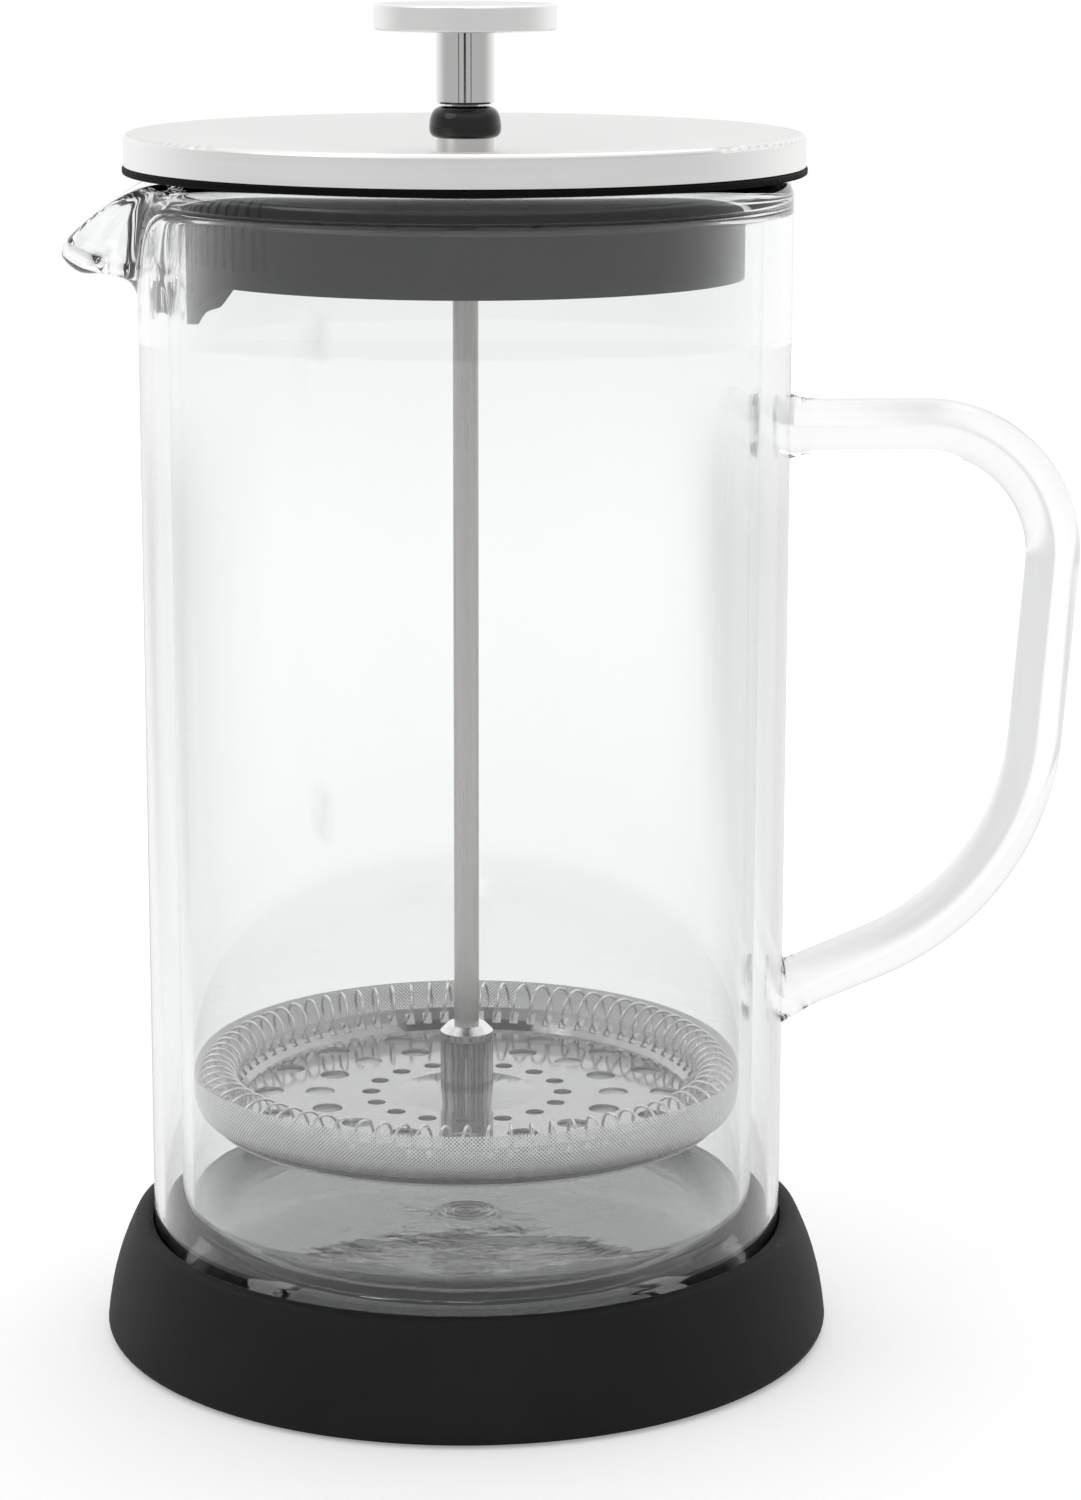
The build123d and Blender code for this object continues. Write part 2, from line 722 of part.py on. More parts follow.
# Cross plate: lower sheet with a beaded rim that runs down and inward, and large round openings
with BuildPart() as cross_plate:
    rim_foot = cross_radius - cross_rim_lean
    with BuildSketch(Plane.XZ):
        with BuildLine():
            Polyline(
                (thread_hole, cross_top),
                (mesh_floor_radius, cross_top),
                (cross_radius, cross_under),
                (rim_foot, filter_bottom + cross_bead),
                (rim_foot - cross_sheet, filter_bottom + cross_bead),
                (cross_radius - cross_sheet, cross_under - cross_sheet),
                (mesh_floor_radius, cross_under),
                (thread_hole, cross_under),
                close=True,
            )
        make_face()
        with Locations((rim_foot - cross_bead, filter_bottom + cross_bead)):
            Circle(cross_bead)
    revolve(axis=Axis.Z)
    with BuildSketch(Plane.XY.offset(cross_under)):
        with PolarLocations(cross_hole_ring, cross_hole_count):
            Circle(cross_hole_radius)
    extrude(amount=cross_sheet, mode=Mode.SUBTRACT)
cross_plate.part.label = "cross_plate"
export_step(cross_plate.part, "parts/cross_plate.step")

# Cross boss: takes the rod's lower thread
with BuildPart() as cross_boss:
    with BuildSketch(Plane.XY.offset(boss_bottom)):
        Circle(boss_radius)
        Circle(thread_hole, mode=Mode.SUBTRACT)
    extrude(amount=boss_height)
cross_boss.part.label = "cross_boss"
export_step(cross_boss.part, "parts/cross_boss.step")
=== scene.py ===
# %% [markdown]
# # A french press in double-wall glass
# The CAD model gives the size and the place of every solid, so it is loaded first, as a fixed frame.
# Blender adds what a solid can't show: glass as one clear skin, a spring of real wire, a woven screen,
# and finishes with their grain. Lengths on the press are written in millimetres, as on a drawing, and
# become metres when a mesh is made. The studio around it is written in metres.

# %% Load the frame
from math import cos, pi, radians, sin, sqrt, tan

import bpy
import numpy as np
from mathutils import Matrix, Vector


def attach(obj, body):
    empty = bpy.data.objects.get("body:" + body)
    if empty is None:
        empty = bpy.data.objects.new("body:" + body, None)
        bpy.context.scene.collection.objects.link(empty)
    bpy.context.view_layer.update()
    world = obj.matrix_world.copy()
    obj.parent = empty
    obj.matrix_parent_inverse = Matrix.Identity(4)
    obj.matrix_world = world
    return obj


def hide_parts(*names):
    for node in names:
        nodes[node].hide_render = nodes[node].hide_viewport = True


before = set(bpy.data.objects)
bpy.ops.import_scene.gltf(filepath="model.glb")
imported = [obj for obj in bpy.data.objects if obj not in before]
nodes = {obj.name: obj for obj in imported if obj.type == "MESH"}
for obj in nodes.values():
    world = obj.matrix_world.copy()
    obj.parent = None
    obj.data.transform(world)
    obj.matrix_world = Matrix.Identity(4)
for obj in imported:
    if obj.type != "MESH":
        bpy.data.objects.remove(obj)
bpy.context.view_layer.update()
scene = bpy.context.scene
MM = 0.001

# %% [markdown]
# ## Node trees written as sums
# Shaders and Geometry Nodes are both trees of nodes. Wiring them by hand hides the idea behind dozens of
# links, so two small classes are used instead. A Wire is one output socket, and arithmetic on it adds
# Math nodes, so that `1 - mask * 0.3` reads as it is meant. A Graph makes every other node, with one
# method.

# %% Wire and Graph
class Wire:
    """One output socket of a tree. Arithmetic on it adds Math nodes to the same tree."""

    def __init__(self, graph, socket):
        self.graph = graph
        self.socket = socket

    def math(self, operation, *values):
        return self.graph.add("ShaderNodeMath", {"operation": operation}, dict(enumerate(values)))

    def other(self, name):
        """Another output of the same node."""
        return Wire(self.graph, self.socket.node.outputs[name])

    def __add__(self, value):
        return self.math("ADD", self, value)

    def __sub__(self, value):
        return self.math("SUBTRACT", self, value)

    def __rsub__(self, value):
        return self.math("SUBTRACT", value, self)

    def __mul__(self, value):
        return self.math("MULTIPLY", self, value)

    def __truediv__(self, value):
        return self.math("DIVIDE", self, value)

    def __pow__(self, value):
        return self.math("POWER", self, value)

    __radd__ = __add__
    __rmul__ = __mul__

    def sine(self):
        return self.math("SINE", self)

    def cosine(self):
        return self.math("COSINE", self)

    def size(self):
        """The value without its sign."""
        return self.math("ABSOLUTE", self)

    def larger(self, value):
        return self.math("MAXIMUM", self, value)

    def smaller(self, value):
        return self.math("MINIMUM", self, value)

    def rise(self, low, high):
        """0 below low, 1 above high, and a smooth step between them."""
        settings = {"interpolation_type": "SMOOTHSTEP"}
        return self.graph.add(
            "ShaderNodeMapRange", settings, {"Value": self, "From Min": low, "From Max": high}
        )


class Graph:
    """A node tree under construction, of a material, of the world or of a Geometry Nodes group."""

    def __init__(self, tree):
        self.tree = tree
        self.tree.nodes.clear()

    def add(self, kind, settings=None, sockets=None, output=0):
        made = self.tree.nodes.new(kind)
        for name, value in (settings or {}).items():
            setattr(made, name, value)
        for name, value in (sockets or {}).items():
            if isinstance(value, Wire):
                self.tree.links.new(value.socket, made.inputs[name])
            else:
                made.inputs[name].default_value = value
        return Wire(self, made.outputs[output] if made.outputs else None)


print("a sum such as 1 - mask * 0.3 adds two Math nodes")

# %% [markdown]
# ## What every finish shares
# Each finish starts from the place of a point on the piece, in Object coordinates, so that its pattern
# stays on the piece when it moves. Turned and pressed metal is marked round its axis, so the distance
# from the axis is worked out as well. A Principled shader closes each finish.

# %% Finish helpers
class Finish(Graph):
    """A material, with the coordinates that its pattern is drawn in."""

    def __init__(self, name):
        self.material = bpy.data.materials.new(name)
        self.material.use_nodes = True
        super().__init__(self.material.node_tree)
        self.place = self.add("ShaderNodeTexCoord", output="Object")
        self.x = self.add("ShaderNodeSeparateXYZ", sockets={0: self.place})
        self.y = self.x.other("Y")
        self.z = self.x.other("Z")
        self.axis_distance = (self.x * self.x + self.y * self.y) ** 0.5

    def vector(self, x, y, z):
        return self.add("ShaderNodeCombineXYZ", sockets={0: x, 1: y, 2: z})

    def noise(self, vector, scale, detail=2.0, w=None):
        sockets = {"Vector": vector, "Scale": scale, "Detail": detail}
        settings = {"noise_dimensions": "3D"}
        if w is not None:
            settings = {"noise_dimensions": "4D"}
            sockets["W"] = w
        return self.add("ShaderNodeTexNoise", settings, sockets)

    def rings(self, fineness):
        """Noise drawn out round the axis: fine across the radius and the height, long around."""
        never_zero, length_around = 1e-5, 1.5
        around_x = self.x / (self.axis_distance + never_zero)
        around_y = self.y / (self.axis_distance + never_zero)
        across = self.vector(self.axis_distance * fineness, self.z * fineness, around_x * length_around)
        return self.noise(across, 1.0, 3.0, around_y * length_around)

    def bump(self, height, depth, strength=1.0):
        """A Normal from a height between 0 and 1. depth is its full height in millimetres."""
        return self.add(
            "ShaderNodeBump", sockets={"Strength": strength, "Distance": depth * MM, "Height": height}
        )

    def tint(self, mask, dark, light):
        """A colour that goes from dark to light as mask goes from 0 to 1."""
        settings = {"data_type": "RGBA"}
        return self.add("ShaderNodeMix", settings, {0: mask, 6: (*dark, 1), 7: (*light, 1)}, output=2)

    def close(self, sockets):
        shader = self.add("ShaderNodeBsdfPrincipled", sockets=sockets)
        self.add("ShaderNodeOutputMaterial", sockets={"Surface": shader})
        return self.material


def dress(names, material):
    """Gives solids of the frame a finish, in place of the plain one that they came with."""
    for name in names:
        mesh = nodes[name].data
        mesh.materials.clear()
        mesh.materials.append(material)
    print(material.name, "on", ", ".join(names))


print("solids that wait for a finish:", len(nodes))

# %% [markdown]
# ## Clear glass
# The vessel is borosilicate glass. Its walls are drawn tubes, so they carry very faint upright lines, and
# the floor was melted shut on a lathe, which leaves soft swirls and a few rings in the middle. All of it
# is height only: the colour of the glass is one value, set on the shader, and the bump bends the light.

# %% Glass finish
def glass_finish():
    glass = Finish("clear_glass")
    lines_across, lines_along, swirl_fineness = 150, 4, 95.0
    line_weight, swirl_weight = 0.05, 1.4
    floor_ends = 21.5 * MM, 24.5 * MM
    rings_end = 3.5 * MM, 6.0 * MM
    ring_pitch = 1.8 * MM
    upright = glass.vector(glass.x * lines_across, glass.y * lines_across, glass.z * lines_along)
    draw_lines = glass.noise(upright, 1.0, 1.0)
    swirl = glass.rings(swirl_fineness)
    on_floor = 1 - glass.z.rise(*floor_ends)
    middle = 1 - glass.axis_distance.rise(*rings_end)
    rings = (glass.axis_distance * (2 * pi / ring_pitch)).cosine() * middle
    height = draw_lines * line_weight + (swirl * swirl_weight + rings) * on_floor
    return glass.close({
        "Base Color": (0.985, 0.99, 0.99, 1),
        "Roughness": 0.0,
        "IOR": 1.47,
        "Transmission Weight": 1.0,
        "Normal": glass.bump(height, 0.35, 0.5),
    })


clear_glass = glass_finish()
print("finish:", clear_glass.name)

# %% [markdown]
# ## Curves and turned skins
# Most of the press is round, so a profile is swept about the axis. Three helpers draw a profile: an arc
# between two directions, a straight run, and a smooth curve through given points. The skin is closed at
# its poles with single points, because doubled points there would show as a pinched shade.

# %% Profile helpers
end_guard = 0.4


def arc(centre, radius, start, end, count):
    """Points on an arc, with angles in degrees in the plane of the profile."""
    angles = np.radians(np.linspace(start, end, count))
    return np.column_stack([centre[0] + radius * np.cos(angles), centre[1] + radius * np.sin(angles)])


def run(start, end, count):
    """Points on a straight line, without its last one. Two stand near its ends, to keep it flat there."""
    start, end = np.asarray(start, float), np.asarray(end, float)
    near = end_guard / np.linalg.norm(end - start)
    shares = np.concatenate([[0], np.linspace(near, 1 - near, count)])
    return start + shares[:, None] * (end - start)


def through(points, per_span):
    """A smooth curve through points, with the slope at each one taken from its neighbours."""
    points = np.asarray(points, float)
    knots = np.concatenate([[0], np.cumsum(np.linalg.norm(np.diff(points, axis=0), axis=1))])
    slopes = np.gradient(points, knots, axis=0, edge_order=2)
    made = []
    for k in range(len(points) - 1):
        span = knots[k + 1] - knots[k]
        t = np.linspace(0, 1, per_span, endpoint=False)[:, None]
        made.append(
            (2 * t**3 - 3 * t**2 + 1) * points[k]
            + (t**3 - 2 * t**2 + t) * span * slopes[k]
            + (3 * t**2 - 2 * t**3) * points[k + 1]
            + (t**3 - t**2) * span * slopes[k + 1]
        )
    return np.vstack([*made, points[-1:]])


def turned_skin(columns, azimuths):
    """Points and faces of a closed skin, from one profile per azimuth that starts and ends on the axis."""
    steps, rows = len(columns), len(columns[0]) - 2
    points = [(0, 0, columns[0][0][1])]
    for profile, azimuth in zip(columns, azimuths):
        points += [(r * cos(azimuth), r * sin(azimuth), z) for r, z in profile[1:-1]]
    points.append((0, 0, columns[0][-1][1]))
    last = len(points) - 1
    faces = []
    for step in range(steps):
        here = 1 + step * rows
        there = 1 + (step + 1) % steps * rows
        faces.append((0, there, here))
        faces += [(here + k, there + k, there + k + 1, here + k + 1) for k in range(rows - 1)]
        faces.append((here + rows - 1, there + rows - 1, last))
    return points, faces


def new_piece(name, points, faces, material):
    """A mesh object at the origin, from points in millimetres, shaded smooth."""
    mesh = bpy.data.meshes.new(name)
    mesh.from_pydata([tuple(c * MM for c in p) for p in points], [], faces)
    mesh.shade_smooth()
    mesh.materials.append(material)
    piece = bpy.data.objects.new(name, mesh)
    scene.collection.objects.link(piece)
    print(name, "has", len(mesh.polygons), "faces")
    return piece


print("a quarter of a circle ends at", arc((0, 0), 1, 0, 90, 5)[-1].round(3))

# %% [markdown]
# ## The glass vessel
# The real vessel is two tubes, one inside the other, melted together at the rim, with the spout pulled
# from the soft rim. Light only looks right in glass when every surface is there once, so the vessel is
# one object with two closed skins: the outside with the bore, and the sealed space between the walls. The
# rim is drawn at each azimuth as a mix of the plain rim and the middle of the spout, whose points are
# written as a reach from the wall and a drop from the rim. The seal tip under the floor belongs to the
# same glass.

# %% Vessel profiles
rim, bore, wall = 208.7, 50.0, 57.0
outer_floor, outer_corner = 4.0, 7.0
inner_floor, inner_corner = 20.5, 6.0
tip_low, tip_side, tip_round = 2.9, 2.4, 1.6
pole_gap = 2.0
spout_half_angle, spout_fullness, spout_droop = 36, 1.75, 1.6
plain_outer = [(0, 6), (0, 4.2), (-0.2, 2.4), (-0.9, 1.1), (-2.0, 0.3)]
spout_outer = [(0, 22.6), (1.4, 19.0), (5.0, 17.6), (10.6, 17.0), (13.3, 13.9)]
plain_lip, spout_lip = (-3.5, 0), (12.2, 11.5)
plain_inner = [(1.8, 0.4), (0.7, 1.5), (0.1, 3.1), (0, 4.7), (0, 6)]
spout_inner = [(17.0, 13.4), (11.4, 15.5), (5.4, 16.8), (1.1, 19.2), (0, 23.2)]


def mixed(base, plain, spout, out, down):
    """Points between the plain rim and the spout, as radius and height."""
    plain, spout = np.array(plain, float), np.array(spout, float)
    reach = plain[:, 0] + (spout[:, 0] - plain[:, 0]) * out
    drop = plain[:, 1] + (spout[:, 1] - plain[:, 1]) * down
    return np.column_stack([base + reach, rim - drop])


def spout_weights(azimuth):
    """How far the spout is pulled out and drawn down: 0 on the plain rim, 1 in the middle of the spout."""
    share = min(1.0, abs(azimuth - pi) / radians(spout_half_angle))
    pull = ((1 + cos(pi * share)) / 2) ** spout_fullness
    return pull, pull**spout_droop


def outside_profile(azimuth):
    """From the seal tip under the floor, up the outside, over the rim and down the bore to its floor."""
    out, down = spout_weights(azimuth)
    outer = mixed(wall, plain_outer, spout_outer, out, down)
    lip = mixed(wall, [plain_lip], [spout_lip], out, down)
    inner = mixed(bore, plain_inner, spout_inner, out, down)
    return np.vstack([
        [(0, tip_low)],
        arc((tip_side, tip_low + tip_round), tip_round, -90, -18, 6),
        run((tip_side + tip_round, outer_floor), (wall - outer_corner, outer_floor), 10),
        arc((wall - outer_corner, outer_floor + outer_corner), outer_corner, -90, 0, 12),
        run((wall, outer_floor + outer_corner), outer[0], 16)[1:],
        through(np.vstack([outer, lip, inner]), 7),
        run(inner[-1], (bore, inner_floor + inner_corner), 16)[1:],
        arc((bore - inner_corner, inner_floor + inner_corner), inner_corner, 0, -90, 12),
        run((bore - inner_corner, inner_floor), (pole_gap, inner_floor), 24)[1:],
        [(0, inner_floor)],
    ])


print("rim at", rim, "mm, bore of", 2 * bore, "mm, glass of", 2 * wall, "mm")

# %% [markdown]
# ## The space between the walls
# A thin layer of air is sealed between the walls. Without it the vessel would look like one thick block,
# so it gets a skin of its own. Its rounded top dips under the spout, and a rippled bead hangs from the
# inner floor, where the glass was closed. The profile starts at that bead, so that the faces point into
# the space, away from the glass.

# %% The sealed space
gap_in, gap_out = 51.8, 55.1
space_top, space_top_drop = rim - 6.2, 19.8
space_arch, space_arch_drop = 2.0, 0.2
space_roof, roof_corner = 18.3, 7.8
space_floor, floor_corner = 6.2, 5.1
bead_low, bead_round, bead_edge, bead_end = 15.9, 10.0, 6.5, -49.5
ripple_height, ripple_pitch = 0.18, 1.6
tip_inside = [(2.5, space_floor), (1.6, 6.75), (0.8, 7.1), (0, 7.2)]


def rippled_bead():
    """The round bead under the inner floor, with soft rings that die out at its middle and its edge."""
    bead = arc((0, bead_low + bead_round), bead_round, -90, bead_end, 37)
    reach = bead[:, 0]
    fade = np.minimum(reach, bead_edge - reach).clip(0, 1)
    bead[:, 1] += ripple_height * np.sin(2 * pi * reach / ripple_pitch) * fade
    return bead


def space_profile(azimuth):
    """The sealed space: from the bead under the inner floor, up and over, and down to the outer floor."""
    down = spout_weights(azimuth)[1]
    top = space_top - space_top_drop * down
    arch = space_arch - space_arch_drop * down
    middle, half_gap = (gap_in + gap_out) / 2, (gap_out - gap_in) / 2
    crown = [(middle - half_gap * cos(a), top + arch * sin(a)) for a in np.linspace(0, pi, 13)]
    return np.vstack([
        rippled_bead(),
        run((bead_edge, space_roof), (gap_in - roof_corner, space_roof), 20)[1:],
        arc((gap_in - roof_corner, space_roof + roof_corner), roof_corner, -90, 0, 12),
        run((gap_in, space_roof + roof_corner), crown[0], 16)[1:],
        crown,
        run((gap_out, top), (gap_out, space_floor + floor_corner), 16)[1:],
        arc((gap_out - floor_corner, space_floor + floor_corner), floor_corner, 0, -90, 10),
        run((gap_out - floor_corner, space_floor), tip_inside[0], 10)[1:],
        tip_inside,
    ])


print("space between the walls:", round(gap_out - gap_in, 2), "mm")

# %% Vessel skin
vessel_steps = 288
azimuths = np.linspace(0, 2 * pi, vessel_steps, endpoint=False)
shell_points, shell_faces = turned_skin([outside_profile(a) for a in azimuths], azimuths)
space_points, space_faces = turned_skin([space_profile(a) for a in azimuths], azimuths)
first = len(shell_points)
all_faces = shell_faces + [tuple(first + k for k in face) for face in space_faces]
vessel = new_piece("vessel_glass", shell_points + space_points, all_faces, clear_glass)
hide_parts("glass_vessel", "seal_tip")
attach(vessel, "carafe")

# %% [markdown]
# ## The glass handle
# The handle is a solid rod, bent in two places and melted onto the outer wall. A rod that follows a path
# is a task for Geometry Nodes: the path is a line of points, and Curve to Mesh carries a circle along it,
# with a radius that swells at both roots. The two end rings are then slid onto the round wall, a hair
# away from it, so that the glass of the rod and of the wall never share a face.

# %% A rod along a path
def node_group(name, inputs):
    """An empty Geometry Nodes group with one geometry in and out, and named number inputs."""
    group = bpy.data.node_groups.new(name, "GeometryNodeTree")
    group.interface.new_socket("Geometry", in_out="INPUT", socket_type="NodeSocketGeometry")
    group.interface.new_socket("Geometry", in_out="OUTPUT", socket_type="NodeSocketGeometry")
    for label, kind, value in inputs:
        socket = group.interface.new_socket(label, in_out="INPUT", socket_type=kind)
        socket.default_value = value
    graph = Graph(group)
    return group, graph, graph.add("NodeGroupInput")


def finish_group(graph, geometry, material):
    """Every group ends alike: smooth shade, real geometry and a material."""
    smooth = graph.add("GeometryNodeSetShadeSmooth", sockets={"Geometry": geometry})
    real = graph.add("GeometryNodeRealizeInstances", sockets={"Geometry": smooth})
    dressed = graph.add("GeometryNodeSetMaterial", sockets={"Geometry": real, "Material": material})
    graph.add("NodeGroupOutput", sockets={0: dressed})


def grown(name, mesh, group, values):
    """Runs a group on a mesh with its inputs set, and returns the result as a plain piece."""
    seed = bpy.data.objects.new(name, mesh)
    scene.collection.objects.link(seed)
    modifier = seed.modifiers.new(name, "NODES")
    modifier.node_group = group
    for item in group.interface.items_tree:
        if item.in_out == "INPUT" and item.name in values:
            modifier[item.identifier] = values[item.name]
    evaluated = seed.evaluated_get(bpy.context.evaluated_depsgraph_get())
    made = bpy.data.meshes.new_from_object(evaluated)
    seed.modifiers.remove(modifier)
    seed.data = made
    made.name = name
    print(name, "has", len(made.polygons), "faces")
    return seed


def rod_group():
    inputs = [("Radius", "NodeSocketFloat", 1.0), ("Flare", "NodeSocketFloat", 0.0),
              ("Root", "NodeSocketFloat", 1.0), ("Sides", "NodeSocketInt", 12)]
    group, graph, start = node_group("bent_rod", inputs)
    path = graph.add("GeometryNodeMeshToCurve", sockets={"Mesh": start})
    along = graph.add("GeometryNodeSplineParameter", output="Length")
    whole = graph.add("GeometryNodeSplineLength")
    from_end = along.smaller(whole - along)
    swell = (1 - (from_end / start.other("Root")).smaller(1.0)) ** 2.0
    radius = start.other("Radius") + start.other("Flare") * swell
    ring = graph.add(
        "GeometryNodeCurvePrimitiveCircle", sockets={"Resolution": start.other("Sides"), "Radius": 1.0}
    )
    sized = graph.add("GeometryNodeSetCurveRadius", sockets={"Curve": path, "Radius": radius})
    tube = graph.add(
        "GeometryNodeCurveToMesh", sockets={"Curve": sized, "Profile Curve": ring, "Scale": radius}
    )
    finish_group(graph, tube, clear_glass)
    return group


bent_rod = rod_group()
print("group:", bent_rod.name, "with", len(bent_rod.nodes), "nodes")

# %% The handle's path
def rounded_path(corners, bends, spacing):
    """Points along straight runs with rounded corners."""
    corners = [Vector(c) for c in corners]
    places = [corners[0]]
    for before, corner, after, bend in zip(corners, corners[1:], corners[2:], bends):
        back = (before - corner).normalized()
        ahead = (after - corner).normalized()
        half = back.angle(ahead) / 2
        reach = bend / tan(half)
        centre = corner + (back + ahead).normalized() * bend / sin(half)
        entry = corner + back * reach - centre
        sweep = pi - 2 * half
        turn = entry.cross(corner + ahead * reach - centre).normalized()
        count = max(2, round(bend * sweep / spacing))
        places += [centre + Matrix.Rotation(sweep * k / count, 3, turn) @ entry for k in range(count + 1)]
    places.append(corners[-1])
    path = [places[0]]
    for start, end in zip(places, places[1:]):
        parts = max(1, round((end - start).length / spacing))
        path += [start.lerp(end, k / parts) for k in range(1, parts + 1)]
    return path


handle_corners = [(57.1, 0, 164.8), (105.6, 0, 165.2), (99.6, 0, 80.7), (57.1, 0, 62.4)]
handle_bends, handle_spacing = (23.0, 47.0), 1.4
handle_radius, root_flare, root_length = 4.85, 0.9, 4.5
handle_sides = 40
handle_path = rounded_path(handle_corners, handle_bends, handle_spacing)
path_links = [(k, k + 1) for k in range(len(handle_path) - 1)]
path_mesh = bpy.data.meshes.new("handle_path")
path_mesh.from_pydata([p * MM for p in handle_path], path_links, [])
handle = grown("handle_glass", path_mesh, bent_rod, {
    "Radius": handle_radius * MM, "Flare": root_flare * MM, "Root": root_length * MM, "Sides": handle_sides,
})

# %% The handle's roots
root_gap = 0.04


def slide_to_wall(point, direction, radius):
    """Where a line from a point first meets an upright round wall on the axis."""
    a = direction.x**2 + direction.y**2
    b = point.x * direction.x + point.y * direction.y
    c = point.x**2 + point.y**2 - radius**2
    return point + direction * ((-b + sqrt(b * b - a * c)) / a)


def close_roots(piece, ends):
    """Slides the first and the last ring onto the wall, and closes each with a fan of faces."""
    mesh = piece.data
    points = [v.co / MM for v in mesh.vertices]
    faces = [tuple(p.vertices) for p in mesh.polygons]
    rings = (range(handle_sides), range(len(points) - handle_sides, len(points)))
    for ring, (place, outward) in zip(rings, ends):
        for k in ring:
            points[k] = slide_to_wall(points[k], outward, wall + root_gap)
        points.append(slide_to_wall(place, outward, wall + root_gap))
        middle = len(points) - 1
        loop = list(ring)
        fan = [(middle, a, b) for a, b in zip(loop, loop[1:] + loop[:1])]
        normal = (points[loop[1]] - points[middle]).cross(points[loop[2]] - points[middle])
        if normal.dot(outward) > 0:
            fan = [face[::-1] for face in fan]
        faces += fan
    closed = bpy.data.meshes.new(piece.name)
    closed.from_pydata([p * MM for p in points], [], faces)
    closed.shade_smooth()
    closed.materials.append(clear_glass)
    piece.data = closed


upper_out = (handle_path[1] - handle_path[0]).normalized()
lower_out = (handle_path[-2] - handle_path[-1]).normalized()
close_roots(handle, ((handle_path[0], upper_out), (handle_path[-1], lower_out)))
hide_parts("glass_handle")
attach(handle, "carafe")
print("handle:", len(handle.data.vertices), "points")

# %% [markdown]
# ## The black base
# The base is a moulded cup with a soft, matt skin. It shows no gloss, only a fine grain and a slightly
# paler bloom in soft clouds. A low specular level keeps it black under a bright tent, and the roughness
# changes slowly over the surface, so that it doesn't look like paint.

# %% Black finishes
def base_finish():
    skin = Finish("matt_black_skin")
    grain = skin.noise(skin.place, 2600.0, 2.0)
    cloud = skin.noise(skin.place, 55.0, 3.0)
    bloom = cloud.rise(0.35, 0.75)
    deep, paler = (0.0072, 0.0072, 0.0074), (0.0105, 0.0105, 0.0107)
    return skin.close({
        "Base Color": skin.tint(bloom, deep, paler),
        "Roughness": 0.5 + 0.14 * cloud + 0.06 * grain,
        "Specular IOR Level": 0.22,
        "Normal": skin.bump(grain, 0.03, 0.5),
    })


def moulded_finish(name, colour, rough, level):
    """Black moulded plastic or rubber: one colour, with a faint mould texture and flow clouds."""
    black = Finish(name)
    grain = black.noise(black.place, 1800.0, 2.0)
    cloud = black.noise(black.place, 90.0, 2.0)
    return black.close({
        "Base Color": black.tint(cloud, [c * 0.8 for c in colour], [c * 1.2 for c in colour]),
        "Roughness": rough + 0.1 * (cloud - 0.5) + 0.05 * grain,
        "Specular IOR Level": level,
        "Normal": black.bump(grain, 0.012, 0.4),
    })


dress(["base_cup"], base_finish())
dress(["lid_gasket"], moulded_finish("seal_rubber", (0.002, 0.002, 0.002), 0.6, 0.08))
dress(["lid_liner"], moulded_finish("strainer_plastic", (0.016, 0.016, 0.0165), 0.45, 0.35))
dress(["guide_bead"], moulded_finish("bead_plastic", (0.005, 0.005, 0.005), 0.07, 0.5))

# %% [markdown]
# ## Steel, satin and polished
# The lid and the knob are satin steel: a fine brushing runs round the axis and breaks up the reflection,
# and they carry painted shade on their tops and a painted highlight on their rolled edges. The neck and the
# collar are polished, with only hairlines left. The hub is a fluted nut, with streaks up its side that are
# the painted shade and highlights of its flutes. The plate under it is polished on its flat and duller
# where its edge is bent up, and that edge has a painted highlight. The lowest plate has a painted highlight
# along its rim. The rod is drawn bar, with its lines along its length. One pattern, noise drawn out along
# the direction of the work, gives all of them, through the colour, the roughness and a very shallow bump.
# Where an edge differs, its radius or height in Object coordinates says where it starts.

# %% Steel finishes
def turned_steel(name, colour, rough, spread, depth, fineness):
    """Steel worked round the axis. spread is how much the brushing changes the roughness."""
    steel = Finish(name)
    brushing = steel.rings(fineness)
    clouds = steel.noise(steel.place, 45.0, 3.0)
    return steel.close({
        "Base Color": steel.tint(brushing * 0.6 + clouds * 0.4, [c * 0.93 for c in colour], colour),
        "Metallic": 1.0,
        "Roughness": rough + spread * (brushing - 0.5) + spread * 0.5 * (clouds - 0.5),
        "Normal": steel.bump(brushing, depth, 0.5),
    })


def satin_steel(name, edge):
    """Satin steel, brushed round: painted shade on top, and a painted highlight on its rolled edge, past a
    radius in millimetres.
    """
    steel = Finish(name)
    brushing = steel.rings(5200.0)
    coarse = steel.rings(1100.0)
    rolled = steel.axis_distance.rise((edge - 1.0) * MM, (edge + 0.4) * MM)
    # The colour mixes painted shade on the top and a painted highlight on the rolled edge with the
    # brushing.
    mask = 0.72 * rolled + 0.16 * coarse + 0.12 * brushing
    shaded_top_grey, lit_edge_white = (0.70, 0.695, 0.69), (0.985, 0.98, 0.975)
    return steel.close({
        "Base Color": steel.tint(mask, shaded_top_grey, lit_edge_white),
        "Metallic": 1.0,
        "Roughness": 0.36 + 0.14 * (brushing - 0.5) + 0.12 * (coarse - 0.5),
        "Normal": steel.bump(brushing, 0.006, 0.5),
    })


def drawn_steel(name, colour, rough):
    """Steel bar with fine lines along its length."""
    steel = Finish(name)
    across, along = 2600, 25
    lines = steel.noise(steel.vector(steel.x * across, steel.y * across, steel.z * along), 1.0, 2.0)
    return steel.close({
        "Base Color": steel.tint(lines, [c * 0.8 for c in colour], colour),
        "Metallic": 1.0,
        "Roughness": rough + 0.16 * (lines - 0.5),
        "Normal": steel.bump(lines, 0.006, 0.5),
    })


